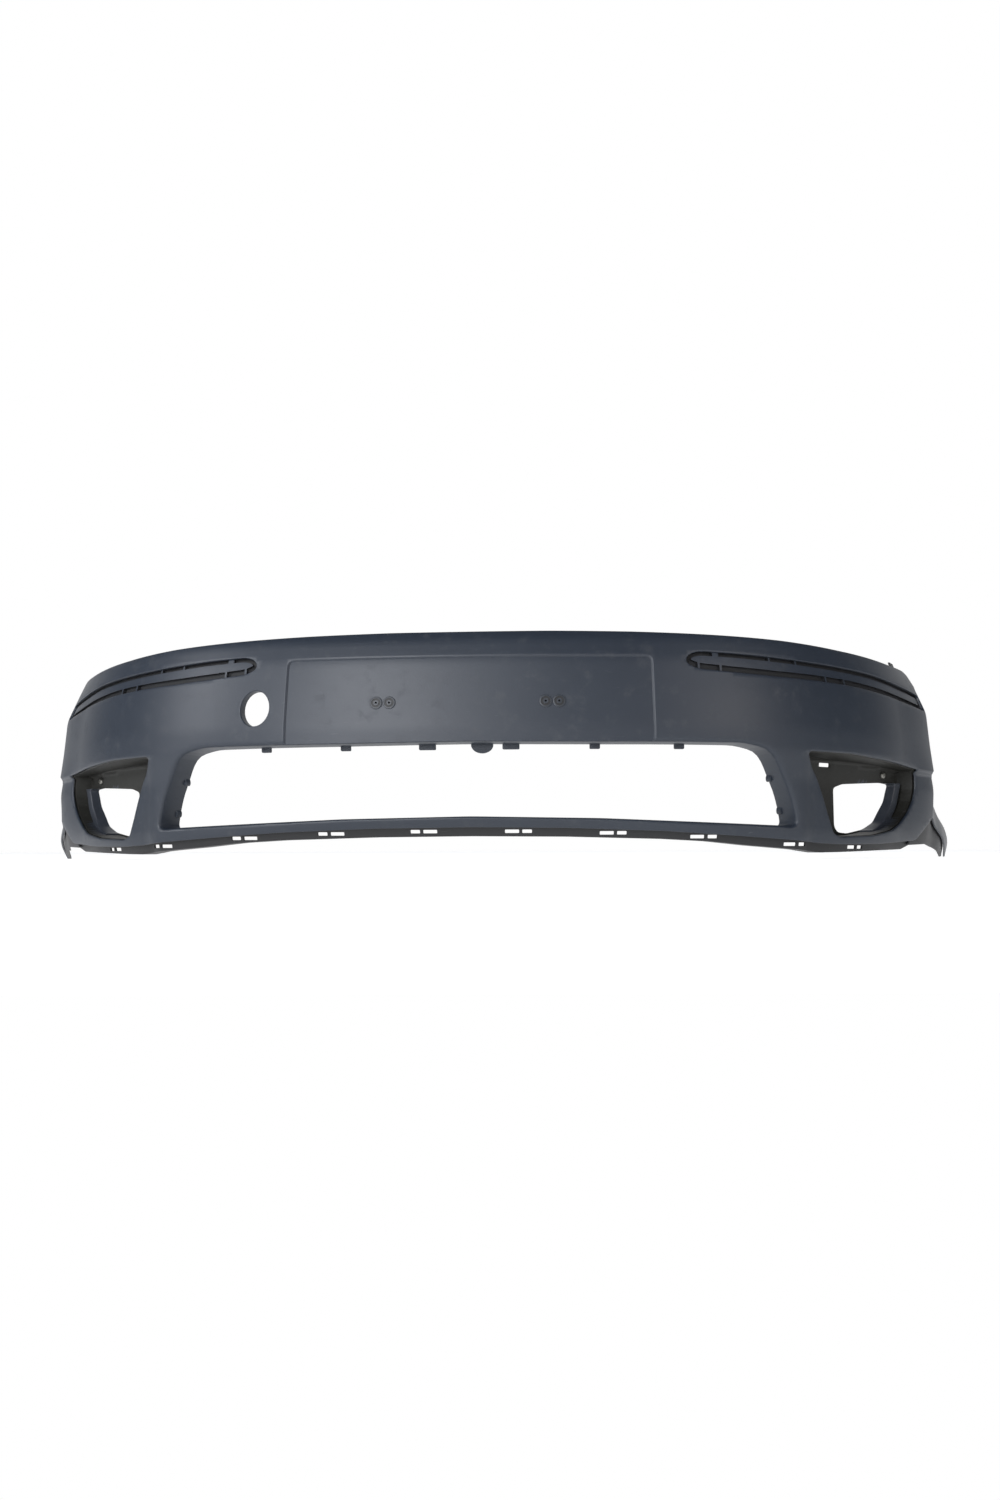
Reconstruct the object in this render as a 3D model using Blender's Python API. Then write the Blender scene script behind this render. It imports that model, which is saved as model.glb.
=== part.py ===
"""Front bumper cover of a family car, with the small pieces that stay on it.

Every moulded piece is first built unrolled, where X runs along the cover from its centre plane, Z is
height and Y is depth behind the painted face.  It is then gridded and wrapped round the plan curve.
Frame: front faces -Y, +X is the right-hand side seen from the front, +Z up, origin under the middle.
"""
import math

import bmesh
import bpy
import numpy as np
from mathutils import Vector

# Overall form, metres
REAR_Y = 0.3097                  # y of the plan curve at the rearmost lower corners
NOSE_Y = REAR_Y - 0.611          # y of the plan curve on the centre plane
BEND_2, BEND_4 = 0.12, 0.78      # plan curve: y = NOSE_Y + BEND_2 x^2 + BEND_4 x^4
WALL = 0.003                     # moulding thickness
GAP = 0.0003                     # clearance between pieces that touch
GRID_S, GRID_Z = 0.045, 0.035    # facet size along and up the cover

# Section of the painted face: (height, distance outside the plan curve)
CENTRE_SECTION = [(0, -0.070), (0.036, -0.058), (0.075, -0.038), (0.165, 0.005), (0.200, 0.006),
                  (0.300, -0.004), (0.335, -0.014), (0.350, -0.026)]
CORNER_SECTION = [(0, -0.005), (0.040, 0.003), (0.120, 0.003), (0.165, 0.008), (0.200, 0.008),
                  (0.250, 0.003), (0.300, -0.005), (0.335, -0.014), (0.350, -0.022)]
SIDE_SECTION = [(0, 0.006), (0.030, 0.014), (0.060, 0.021), (0.120, 0.026), (0.160, 0.021), (0.200, 0.017),
                (0.260, 0.013), (0.300, -0.003), (0.335, -0.017), (0.350, -0.024)]
AFT_TUCK, CREASE = 0.045, 0.925  # how far the flank pulls in, and where it starts to
BROW_STEP = 0.006                # how far the upper body stands proud over the lamp mouths

# Openings and recesses, metres along and up the cover, right-hand side
GRILLE_TOP, GRILLE_DEPTH = 0.175, 0.042
LAMP_DEPTH = 0.066
PLATE_HALF, PLATE_LOW, PLATE_HIGH, PLATE_STEP = 0.2757, 0.182, 0.3025, 0.0025
TOW_PLACE, TOW_SIZE, TOW_DEPTH = (-0.3275, 0.231), (0.0235, 0.0275), 0.014
TRAY_STEP, GROOVE_WIDTH, GROOVE_DEPTH = 0.004, 0.005, 0.0095
BOSS_PLACES, BOSS_HEIGHT, BOSS_HOLE = (-0.137, -0.117, 0.117, 0.137), 0.235, 0.004
TOP_FLANGE_DEPTH, TOP_FLANGE_DROP = 0.020, 0.0005
ARCH_FLANGE_DEPTH = 0.022

# Pieces behind the skin
STAND_OFF = 0.0030               # between the skin and a moulding that lies along it
BRIM_FRONT = WALL + STAND_OFF    # first depth that is clear of the painted sheet
BRIM = 0.009                     # width of the lamp pocket's brim
STRIP_FRONT, STRIP_SHELF = 0.0104, 0.034
STRIP_COVER = 0.0075             # how far the strip runs up behind the rail
SLOT_CENTRES, SLOT_HEIGHT = (0.074, 0.222, 0.363, 0.514, 0.655), 0.007
SLOT_LONG, SLOT_SHORT, SLOT_SPACE = 0.022, 0.015, 0.005
BRACKET_FRONT = GROOVE_DEPTH + WALL + STAND_OFF
BRACKET_LOW, BRACKET_HIGH, BRACKET_SHELF = 0.266, 0.322, 0.045
CLIP_WIDTH, CLIP_PLATE = 0.016, 0.0012
TOP_CLIPS = (-0.42, -0.21, 0.03, 0.21, 0.42)
ARCH_CLIPS = (0.065, 0.165)
STRIP_RIVETS = (0.145, 0.292, 0.560, 0.740)
LAMP_SCREWS = [(0.806, 0.141), (0.640, 0.050)]
BRACKET_SCREWS = [(0.835, 0.285), (0.895, 0.285)]
GRILLE_TABS = [(0.064, 0.026), (0.192, 0.016), (0.324, 0.016)]     # (place, width)
TAB_LOW, TAB_HIGH = 0.1665, 0.1755
LUG_PLACE, LUG_SIZE = (0.020, GRILLE_TOP - 0.0015), (0.017, 0.0125)

# Fasteners, radii and lengths
SCREW_HEAD, SCREW_SHANK, LAMP_SCREW_HOLE, BRACKET_SCREW_HOLE = 0.0055, 0.0022, 0.003, 0.0026
RIVET_HEAD, RIVET_SHANK, RIVET_HOLE = 0.0035, 0.0015, 0.0019
GROMMET_HEAD, GROMMET_THICK, GROMMET_LENGTH, GROMMET_BORE = 0.0095, 0.0012, 0.013, 0.0016

TOP_EDGE = [(0, 0.346), (0.12, 0.346), (0.25, 0.344), (0.375, 0.341), (0.50, 0.338), (0.62, 0.3335),
            (0.80, 0.330), (0.88, 0.332), (0.905, 0.328)]
AFT_EDGE = [(0.930, 0.305), (0.950, 0.272), (1.00, 0.244), (1.09, 0.220), (1.168, 0.205),
            (1.158, 0.150), (1.155, 0.100), (1.166, 0.050), (1.190, 0.0)]
LOW_EDGE = [(1.170, 0.0), (0.925, 0.072), (0.855, 0.030), (0.71, 0.0235), (0.60, 0.0228),
            (0.555, 0.0245), (0.51, 0.0285), (0.412, 0.0355), (0.30, 0.0430), (0.15, 0.0485), (0, 0.050)]
GRILLE_EDGE = [(0, GRILLE_TOP), (0.20, 0.1735), (0.415, 0.1735), (0.452, 0.166), (0.468, 0.151),
               (0.480, 0.1295), (0.493, 0.107), (0.502, 0.080), (0.508, 0.050), (0.40, 0.0545),
               (0.20, 0.063), (0, 0.0665)]
BROW_EDGE = [(0.527, 0.1645), (0.62, 0.1645), (0.69, 0.161), (0.77, 0.157), (0.848, 0.152)]
MOUTH_EDGE = BROW_EDGE + [(0.852, 0.135), (0.851, 0.118), (0.842, 0.097), (0.822, 0.076), (0.790, 0.057),
                          (0.757, 0.046), (0.690, 0.037), (0.600, 0.034), (0.583, 0.040), (0.573, 0.066),
                          (0.562, 0.098), (0.551, 0.124), (0.5375, 0.1415)]
LAMP_HOLE = [(0.667, 0.052), (0.675, 0.043), (0.70, 0.041), (0.745, 0.048), (0.777, 0.060),
             (0.810, 0.095), (0.822, 0.126), (0.80, 0.1285), (0.69, 0.1225), (0.668, 0.116)]
TRAY_EDGE = [(0.350, 0.313), (0.411, 0.311), (0.556, 0.305), (0.71, 0.301), (0.785, 0.297),
             (0.918, 0.290), (0.914, 0.2605), (0.835, 0.266), (0.77, 0.270), (0.64, 0.275),
             (0.475, 0.278), (0.410, 0.281), (0.350, 0.285), (0.333, 0.291), (0.329, 0.299), (0.335, 0.308)]
STRIP_LOW_EDGE = [(0, 0.0367), (0.15, 0.0355), (0.30, 0.0315), (0.369, 0.0278), (0.436, 0.0212),
                  (0.526, 0.0145), (0.567, 0.0100), (0.61, 0.0105), (0.715, 0.0127), (0.835, 0.0150)]
GUSSET_EDGE = [(0.842, 0.022), (0.846, 0.038), (0.920, 0.086), (0.936, 0.083), (1.150, 0.020),
               (1.168, 0.0005), (1.13, 0.0005), (1.00, 0.018), (0.93, 0.024)]
BRACKET_EDGE = [(0.80, BRACKET_LOW), (0.915, BRACKET_LOW), (0.915, 0.352), (0.888, 0.352),
                (0.880, BRACKET_HIGH), (0.80, BRACKET_HIGH)]


# ---------------------------------------------------------------- the curved form

def smooth_step(t):
    t = np.clip(t, 0.0, 1.0)
    return t * t * (3.0 - 2.0 * t)


def section(points, height):
    """Read a section at some heights, with its corners eased over about 16 mm."""
    heights = np.arange(-0.08, 0.44, 0.002)
    offsets = np.interp(heights, *zip(*points))
    eased = np.convolve(np.pad(offsets, 4, mode="edge"), np.ones(9) / 9, mode="valid")
    return np.interp(height, heights, eased)


def plan_curve(along):
    """Point and outward normal of the plan curve at distances along it from the centre plane."""
    x = np.linspace(0.0, 1.05, 2101)
    y = NOSE_Y + BEND_2 * x ** 2 + BEND_4 * x ** 4
    length = np.concatenate([[0.0], np.cumsum(np.hypot(np.diff(x), np.diff(y)))])
    side = np.where(along < 0, -1.0, 1.0)
    px = np.interp(np.abs(along), length, x)
    slope = 2 * BEND_2 * px + 4 * BEND_4 * px ** 3
    size = np.hypot(slope, 1.0)
    return px * side, NOSE_Y + BEND_2 * px ** 2 + BEND_4 * px ** 4, side * slope / size, -1.0 / size


def brow_height(along):
    return 0.1645 - 0.014 * smooth_step((np.abs(along) - 0.62) / 0.26)


def face_offset(along, height):
    """How far the painted face lies outside the plan curve."""
    s = np.abs(along)
    to_corner = smooth_step((s - 0.10) / 0.50)
    to_side = smooth_step((s - 0.78) / 0.16)
    front = section(CENTRE_SECTION, height) * (1 - to_corner) + section(CORNER_SECTION, height) * to_corner
    body = front * (1 - to_side) + section(SIDE_SECTION, height) * to_side
    past_crease = np.clip((s - CREASE) / 0.265, 0.0, 1.0)
    tuck = AFT_TUCK * past_crease * (2.0 - past_crease) * smooth_step((height - 0.02) / 0.11)
    under_brow = smooth_step((brow_height(s) - height) / 0.005)
    along_brow = smooth_step((s - 0.515) / 0.03) * (1 - smooth_step((s - 0.97) / 0.08))
    return body - tuck - BROW_STEP * under_brow * along_brow


def wrap(points):
    """Move unrolled points (along, depth, height) on to the curved cover."""
    along, depth, height = points[:, 0], points[:, 1], points[:, 2]
    x, y, nx, ny = plan_curve(along)
    out = face_offset(along, height) - depth
    return np.stack([x + nx * out, y + ny * out, height], axis=1)


# ---------------------------------------------------------------- modelling helpers

def material(name, colour, roughness, metallic=0.0):
    mat = bpy.data.materials.new(name)
    mat.use_nodes = True
    shader = mat.node_tree.nodes["Principled BSDF"]
    shader.inputs["Base Color"].default_value = (*colour, 1.0)
    shader.inputs["Roughness"].default_value = roughness
    shader.inputs["Metallic"].default_value = metallic
    return mat


def add_object(name, bm, mat=None):
    bmesh.ops.recalc_face_normals(bm, faces=bm.faces)
    mesh = bpy.data.meshes.new(name)
    bm.to_mesh(mesh)
    bm.free()
    obj = bpy.data.objects.new(name, mesh)
    bpy.context.scene.collection.objects.link(obj)
    if mat:
        mesh.materials.append(mat)
    return obj


def mirrored(outline):
    return [(-s, z) for s, z in outline]


def kept(outline):
    return outline


SIDES = (kept, mirrored)


def both_sides(outline):
    """Close an outline that starts and ends on the centre plane with its mirror image."""
    return outline + [p for p in reversed(mirrored(outline)) if p[0] < -1e-9]


def grown(outline, distance):
    """Push a closed outline outwards by a distance, corner by corner."""
    area = sum(a[0] * b[1] - b[0] * a[1] for a, b in zip(outline, outline[1:] + outline[:1]))
    turn = 1.0 if area > 0 else -1.0
    result = []
    for i, point in enumerate(outline):
        before = (Vector(point) - Vector(outline[i - 1])).normalized()
        after = (Vector(outline[(i + 1) % len(outline)]) - Vector(point)).normalized()
        out_before = Vector((before.y, -before.x)) * turn
        out_after = Vector((after.y, -after.x)) * turn
        corner = (out_before + out_after) / max(1.0 + out_before.dot(out_after), 0.25)
        result.append(tuple(Vector(point) + corner * distance))
    return result


def oval(centre, half_size, sides=16):
    turns = [2 * math.pi * i / sides for i in range(sides)]
    return [(centre[0] + half_size[0] * math.cos(a), centre[1] + half_size[1] * math.sin(a)) for a in turns]


def box_outline(low_s, high_s, low_z, high_z):
    return [(low_s, low_z), (high_s, low_z), (high_s, high_z), (low_s, high_z)]


def prism(outline, front, back):
    """Solid with the outline as its front view, between two depths."""
    bm = bmesh.new()
    face = bm.faces.new([bm.verts.new((s, front, z)) for s, z in outline])
    grown_part = bmesh.ops.extrude_face_region(bm, geom=[face])["geom"]
    moved = [v for v in grown_part if isinstance(v, bmesh.types.BMVert)]
    bmesh.ops.translate(bm, verts=moved, vec=(0, back - front, 0))
    return add_object("shape", bm)


def combine(base, others, operation):
    for other in others:
        other.hide_render = True
        other.display_type = 'WIRE'
        boolean = base.modifiers.new(operation, 'BOOLEAN')
        boolean.operation = operation
        boolean.solver = 'EXACT'
        boolean.object = other
    evaluated = base.evaluated_get(bpy.context.evaluated_depsgraph_get())
    mesh = bpy.data.meshes.new_from_object(evaluated)
    base.modifiers.clear()
    base.data = mesh
    for other in others:
        bpy.data.objects.remove(other)
    return base


def unite(base, others):
    return combine(base, others, 'UNION')


def cut(base, others):
    return combine(base, others, 'DIFFERENCE')


def slice_grid(bm, normal, step, low, high):
    for i in range(math.ceil(low / step), math.floor(high / step) + 1):
        everything = bm.verts[:] + bm.edges[:] + bm.faces[:]
        place = Vector(normal) * i * step
        bmesh.ops.bisect_plane(bm, geom=everything, dist=0.0004, plane_co=place, plane_no=normal)


def wrap_object(obj, name, mat, bend=None):
    """Grid an unrolled solid finely enough to bend, then wrap it round the cover."""
    bm = bmesh.new()
    bm.from_mesh(obj.data)
    bpy.data.objects.remove(obj)
    if bend:
        for vert in bm.verts:
            vert.co.y = bend(abs(vert.co.x), vert.co.y)
    ends = [v.co.x for v in bm.verts]
    tops = [v.co.z for v in bm.verts]
    slice_grid(bm, (1, 0, 0), GRID_S, min(ends), max(ends))
    slice_grid(bm, (0, 0, 1), GRID_Z, min(tops), max(tops))
    bmesh.ops.remove_doubles(bm, verts=bm.verts, dist=0.00005)
    bmesh.ops.dissolve_degenerate(bm, edges=bm.edges, dist=0.00005)
    bmesh.ops.triangulate(bm, faces=bm.faces)
    points = wrap(np.array([v.co[:] for v in bm.verts]))
    for vert, point in zip(bm.verts, points):
        vert.co = point
    return add_object(name, bm, mat)


# ---------------------------------------------------------------- the cover itself

def groove_ring(outline, depth):
    outer = prism(outline, -0.01, depth)
    return cut(outer, [prism(grown(outline, -GROOVE_WIDTH), -0.02, depth + 0.01)])


def block(low, high):
    """Box between two corners given as (along, depth, height)."""
    return prism(box_outline(low[0], high[0], low[2], high[2]), low[1], high[1])


def round_bar(centre, radius, front, back, sides=10):
    return prism(oval(centre, (radius, radius), sides), front, back)


def skin_backing():
    """Walls and flanges that stand behind the painted sheet."""
    start = WALL / 2
    parts = [prism(grown(both_sides(GRILLE_EDGE), WALL), start, GRILLE_DEPTH)]
    parts.append(prism(box_outline(-PLATE_HALF - WALL, PLATE_HALF + WALL, PLATE_LOW - WALL,
                                   PLATE_HIGH + WALL), start, PLATE_STEP + WALL))
    parts.append(prism(oval(TOW_PLACE, [r + WALL for r in TOW_SIZE]), start, TOW_DEPTH))
    top = sorted(both_sides([(s, z - TOP_FLANGE_DROP) for s, z in TOP_EDGE[:6]]))
    parts.append(prism(top + [(s, z - WALL) for s, z in reversed(top)], start, TOP_FLANGE_DEPTH))
    parts += [prism(turn(grown(TRAY_EDGE, WALL)), start, GROOVE_DEPTH + WALL) for turn in SIDES]
    return parts


def arch_flanges():
    """Return flanges along the wheel arches, where the arch liners are screwed on."""
    line = [(s - 0.001, z - 0.0007 * i) for i, (s, z) in enumerate(AFT_EDGE[4:8])]
    strip = line + [(s - WALL, z) for s, z in reversed(line)]
    return [prism(turn(strip), WALL * 0.6, ARCH_FLANGE_DEPTH) for turn in SIDES]


def skin_cuts():
    parts = [prism(both_sides(GRILLE_EDGE), -0.02, GRILLE_DEPTH + 0.02)]
    parts.append(prism(box_outline(-PLATE_HALF, PLATE_HALF, PLATE_LOW, PLATE_HIGH), -0.02, PLATE_STEP))
    parts.append(prism(oval(TOW_PLACE, TOW_SIZE), -0.02, TOW_DEPTH + 0.02))
    parts += [round_bar((s, BOSS_HEIGHT), BOSS_HOLE, -0.02, 0.03, 8) for s in BOSS_PLACES]
    for turn in SIDES:
        parts.append(prism(turn(MOUTH_EDGE), -0.02, 0.02))
        parts.append(prism(turn(TRAY_EDGE), -0.02, TRAY_STEP))
        parts.append(groove_ring(turn(TRAY_EDGE), GROOVE_DEPTH))
        parts.append(prism(turn(grown(TRAY_EDGE, -GROOVE_WIDTH - WALL)), TRAY_STEP + WALL, 0.03))
    return parts


def grille_tabs():
    """Clip tabs that hang from the back edge of the grille opening's top wall, and one round lug."""
    back = GRILLE_DEPTH
    tabs = [prism(oval(LUG_PLACE, LUG_SIZE, 12), back - 0.005, back - 0.0005)]
    for place, width in GRILLE_TABS:
        for s in (-place, place):
            tabs.append(block((s - width / 2, back - 0.0055, TAB_LOW),
                              (s + width / 2, back - 0.001, TAB_HIGH)))
    return tabs


def make_skin(mat):
    sheet = prism(both_sides(TOP_EDGE + AFT_EDGE + LOW_EDGE), 0.0, WALL)
    unite(sheet, skin_backing())
    cut(sheet, skin_cuts())
    unite(sheet, grille_tabs() + arch_flanges())
    return wrap_object(sheet, "bumper_skin", mat)


# ---------------------------------------------------------------- pieces behind the skin

def pocket_taper(along, depth):
    """The lamp pocket gets shallower towards the flank, so its back faces more forwards."""
    keep = 1.0 - 0.57 * min(max((along - 0.64) / 0.19, 0.0), 1.0)
    return depth if depth < BRIM_FRONT + WALL else BRIM_FRONT + WALL + (depth - BRIM_FRONT - WALL) * keep


def make_lamp_pocket(name, turn, mat):
    liner = prism(turn(grown(MOUTH_EDGE, 0.002)), BRIM_FRONT, LAMP_DEPTH)
    unite(liner, [prism(turn(grown(MOUTH_EDGE, BRIM)), BRIM_FRONT + 0.00005, BRIM_FRONT + WALL - 0.0005)])
    through = LAMP_DEPTH + 0.02
    openings = [prism(turn(grown(MOUTH_EDGE, -0.001)), -0.01, LAMP_DEPTH - WALL)]
    openings.append(prism(turn(LAMP_HOLE), -0.01, through))
    openings += [round_bar(place, LAMP_SCREW_HOLE, -0.01, through, 8) for place in turn(LAMP_SCREWS)]
    return wrap_object(cut(liner, openings), name, mat, pocket_taper)


def strip_slots():
    """See-through slots in pairs, a long one towards the middle and a short one outside it."""
    slots = []
    for s in SLOT_CENTRES:
        z = (float(np.interp(s, *zip(*STRIP_LOW_EDGE))) + rail_height(s)) / 2 + 0.0012
        start = s - (SLOT_LONG + SLOT_SPACE + SLOT_SHORT) / 2
        for low, width in ((start, SLOT_LONG), (start + SLOT_LONG + SLOT_SPACE, SLOT_SHORT)):
            for side in (1, -1):
                ends = sorted((side * low, side * (low + width)))
                slots.append(block((ends[0], -0.01, z - SLOT_HEIGHT / 2),
                                   (ends[1], STRIP_FRONT + WALL + 0.001, z + SLOT_HEIGHT / 2)))
    return slots


def rail_height(along):
    return float(np.interp(abs(along), *zip(*reversed(LOW_EDGE))))


def make_strip(mat):
    ends = [p for p in reversed(LOW_EDGE) if p[0] <= 0.71] + [(0.832, 0.0287)]
    top = [(s, z + STRIP_COVER) for s, z in ends]
    face = prism(both_sides(top + STRIP_LOW_EDGE[:0:-1] + STRIP_LOW_EDGE[:1]), STRIP_FRONT,
                 STRIP_FRONT + WALL)
    low = sorted(both_sides([(s, z + 0.0001) for s, z in STRIP_LOW_EDGE]))
    shelf = prism(low + [(s, z + 0.0025) for s, z in reversed(low)], STRIP_FRONT + WALL / 2, STRIP_SHELF)
    unite(face, [shelf])
    holes = [round_bar((side * s, rail_height(s) + 0.004), RIVET_HOLE, -0.01, 0.03, 8)
             for s in STRIP_RIVETS for side in (-1, 1)]
    cut(face, strip_slots() + holes)
    return wrap_object(face, "lower_strip", mat)


def make_gusset(name, turn, mat):
    plate = prism(turn(GUSSET_EDGE), BRIM_FRONT, BRIM_FRONT + WALL)
    rib = [(0.880, 0.030), (0.920, 0.055), (1.08, 0.021), (1.08, 0.017), (0.922, 0.048), (0.882, 0.026)]
    unite(plate, [prism(turn(rib), BRIM_FRONT + WALL / 2, 0.016)])
    return wrap_object(plate, name, mat)


def make_bracket(name, turn, mat):
    plate = prism(turn(BRACKET_EDGE), BRACKET_FRONT, BRACKET_FRONT + WALL)
    shelf = box_outline(0.802, 0.913, BRACKET_HIGH - WALL - 0.0005, BRACKET_HIGH - 0.0005)
    unite(plate, [prism(turn(shelf), BRACKET_FRONT + WALL / 2, BRACKET_SHELF)])
    cut(plate, [round_bar(place, BRACKET_SCREW_HOLE, -0.01, 0.06, 8) for place in turn(BRACKET_SCREWS)])
    return wrap_object(plate, name, mat)


# ---------------------------------------------------------------- fasteners

def wrap_each(shapes, name, mat, bend=None):
    """Each fastener is an object of its own, numbered from the left."""
    for number, shape in enumerate(shapes, start=1):
        wrap_object(shape, f"{name}_{number}", mat, bend)


def make_top_clips(mat):
    """Spring nuts folded over the top flange from behind."""
    clips = []
    for s in TOP_CLIPS:
        high = float(np.interp(abs(s), *zip(*TOP_EDGE))) - TOP_FLANGE_DROP + 0.0008
        low = high - WALL - 0.0016
        half = CLIP_WIDTH / 2
        clip = block((s - half, 0.0065, low - CLIP_PLATE),
                     (s + half, TOP_FLANGE_DEPTH + 0.0017, high + CLIP_PLATE))
        gap = block((s - half - 0.001, 0.001, low), (s + half + 0.001, TOP_FLANGE_DEPTH + 0.0005, high))
        clips.append(cut(clip, [gap]))
    wrap_each(clips, "top_clip_nut", mat)


def arch_outline(low_z, high_z, inner, outer):
    """Four corners that follow the arch edge's lean, between two distances outside it."""
    heights, places = [z for s, z in AFT_EDGE[7:3:-1]], [s for s, z in AFT_EDGE[7:3:-1]]
    low, high = np.interp(low_z, heights, places), np.interp(high_z, heights, places)
    return [(low + inner, low_z), (low + outer, low_z), (high + outer, high_z), (high + inner, high_z)]


def make_arch_clips(mat):
    """Spring nuts folded over the wheel-arch flange from behind."""
    half, clips = CLIP_WIDTH / 2, []
    for z in ARCH_CLIPS:
        for turn in SIDES:
            clip = prism(turn(arch_outline(z - half, z + half, -0.0062, 0.0022)),
                         0.0085, ARCH_FLANGE_DEPTH + 0.0032)
            gap = arch_outline(z - half - 0.001, z + half + 0.001, -0.0050, 0.0010)
            clips.append(cut(clip, [prism(turn(gap), 0.001, ARCH_FLANGE_DEPTH + 0.0020)]))
    wrap_each(clips, "arch_clip_nut", mat)


def make_grommets(mat):
    """Round plugs for the number plate's screws."""
    plugs = []
    for s in BOSS_PLACES:
        seat = PLATE_STEP - GAP
        head = round_bar((s, BOSS_HEIGHT), GROMMET_HEAD, seat - GROMMET_THICK, seat, 20)
        shank = round_bar((s, BOSS_HEIGHT), BOSS_HOLE - 0.0004, PLATE_STEP - 0.001, GROMMET_LENGTH, 8)
        bore = round_bar((s, BOSS_HEIGHT), GROMMET_BORE, -0.01, GROMMET_LENGTH - 0.003, 6)
        plugs.append(cut(unite(head, [shank]), [bore]))
    wrap_each(plugs, "plate_grommet", mat)


def headed_pins(places, head, shank, head_front, head_back, tip):
    """Screws or rivets: a round head between two depths, and a shank from it to a tip depth."""
    pins = []
    for s, z in places:
        cap = round_bar((s, z), head, head_front, head_back, 12)
        inner = (head_front + head_back) / 2
        pins.append(unite(cap, [round_bar((s, z), shank, min(inner, tip), max(inner, tip), 8)]))
    return pins


def both(places):
    return sorted((side * s, z) for s, z in places for side in (-1, 1))


def make_fasteners(steel, dark):
    make_top_clips(steel)
    make_arch_clips(steel)
    make_grommets(dark)
    floor = LAMP_DEPTH - WALL
    lamp = headed_pins(both(LAMP_SCREWS), SCREW_HEAD, SCREW_SHANK, floor - 0.0068, floor - 0.0028,
                       LAMP_DEPTH + 0.012)
    wrap_each(lamp, "lamp_screw", steel, pocket_taper)
    rivets = [(s, rail_height(s) + 0.004) for s in STRIP_RIVETS]
    back = STRIP_FRONT + WALL + 3 * GAP
    strip = headed_pins(both(rivets), RIVET_HEAD, RIVET_SHANK, back, back + 0.0015, BRIM_FRONT + 0.0002)
    wrap_each(strip, "strip_rivet", dark)
    back = BRACKET_FRONT + WALL + GAP
    bracket = headed_pins(both(BRACKET_SCREWS), SCREW_HEAD, SCREW_SHANK, back, back + 0.003,
                          BRACKET_FRONT + 0.0002)
    wrap_each(bracket, "bracket_screw", steel)


# ---------------------------------------------------------------- build

def clear_scene():
    for obj in list(bpy.data.objects):
        bpy.data.objects.remove(obj)


def main():
    clear_scene()
    primer = material("primer", (0.10, 0.13, 0.17), 0.45)
    black = material("black_plastic", (0.03, 0.03, 0.032), 0.6)
    steel = material("zinc_steel", (0.55, 0.55, 0.52), 0.4, 1.0)
    make_skin(primer)
    make_strip(black)
    for side, turn in zip(("right", "left"), SIDES):
        make_lamp_pocket("lamp_pocket_" + side, turn, black)
        make_gusset("arch_gusset_" + side, turn, black)
        make_bracket("wing_bracket_" + side, turn, black)
    make_fasteners(steel, black)


main()
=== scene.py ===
import math

import bmesh
import bpy
import numpy as np
from mathutils import Matrix, Vector


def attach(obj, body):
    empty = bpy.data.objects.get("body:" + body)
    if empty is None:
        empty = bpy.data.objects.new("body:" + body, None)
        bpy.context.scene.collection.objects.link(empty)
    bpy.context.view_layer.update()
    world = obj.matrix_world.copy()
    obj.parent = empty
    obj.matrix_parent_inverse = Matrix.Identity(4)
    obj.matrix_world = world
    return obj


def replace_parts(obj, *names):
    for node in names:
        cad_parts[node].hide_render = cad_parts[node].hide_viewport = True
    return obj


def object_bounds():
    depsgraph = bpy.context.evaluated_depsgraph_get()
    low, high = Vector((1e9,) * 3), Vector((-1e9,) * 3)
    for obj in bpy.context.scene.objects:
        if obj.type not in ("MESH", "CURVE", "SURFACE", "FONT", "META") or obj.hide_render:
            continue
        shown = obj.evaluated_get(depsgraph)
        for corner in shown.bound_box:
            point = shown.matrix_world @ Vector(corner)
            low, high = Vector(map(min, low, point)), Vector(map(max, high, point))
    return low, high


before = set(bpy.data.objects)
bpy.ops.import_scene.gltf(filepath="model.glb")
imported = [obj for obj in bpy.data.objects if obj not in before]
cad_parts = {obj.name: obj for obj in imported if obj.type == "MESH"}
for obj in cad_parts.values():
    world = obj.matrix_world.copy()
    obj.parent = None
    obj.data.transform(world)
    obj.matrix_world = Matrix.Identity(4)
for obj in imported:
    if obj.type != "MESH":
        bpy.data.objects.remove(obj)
cad_low, cad_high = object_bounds()

# ------------------------------------------------------------------ painted cover
# The big outer moulding: one shot of impact-modified polypropylene, 3 mm thick, in matt blue-grey primer.
# It hangs by its top flange and its arch flanges; the openings have walls moulded in one with it.
# It is shaped unrolled (X along the cover, Y depth behind the face, Z height), then bent round the car.

NOSE_BULGE = 0.0055                      # the face's furthest point ahead of its plan curve
NOSE_Y = cad_low.y + NOSE_BULGE
BEND_2, BEND_4 = 0.12, 0.78              # plan curve: y = NOSE_Y + BEND_2 x^2 + BEND_4 x^4
CENTRE_SECTION = [(0, -0.070), (0.036, -0.058), (0.075, -0.038), (0.165, 0.005), (0.200, 0.006),
                  (0.300, -0.004), (0.335, -0.014), (0.350, -0.026)]
CORNER_SECTION = [(0, -0.005), (0.040, 0.003), (0.120, 0.003), (0.165, 0.008), (0.200, 0.008),
                  (0.250, 0.003), (0.300, -0.005), (0.335, -0.014), (0.350, -0.022)]
SIDE_SECTION = [(0, 0.006), (0.030, 0.014), (0.060, 0.021), (0.120, 0.026), (0.160, 0.021), (0.200, 0.017),
                (0.260, 0.013), (0.300, -0.003), (0.335, -0.017), (0.350, -0.024)]
AFT_TUCK, CREASE = 0.045, 0.925          # how far the flank pulls in, and where it starts to
BROW_STEP = 0.006                        # how far the upper body stands proud over the lamp mouths


def smooth_step(t):
    t = np.clip(t, 0.0, 1.0)
    return t * t * (3.0 - 2.0 * t)


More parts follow.
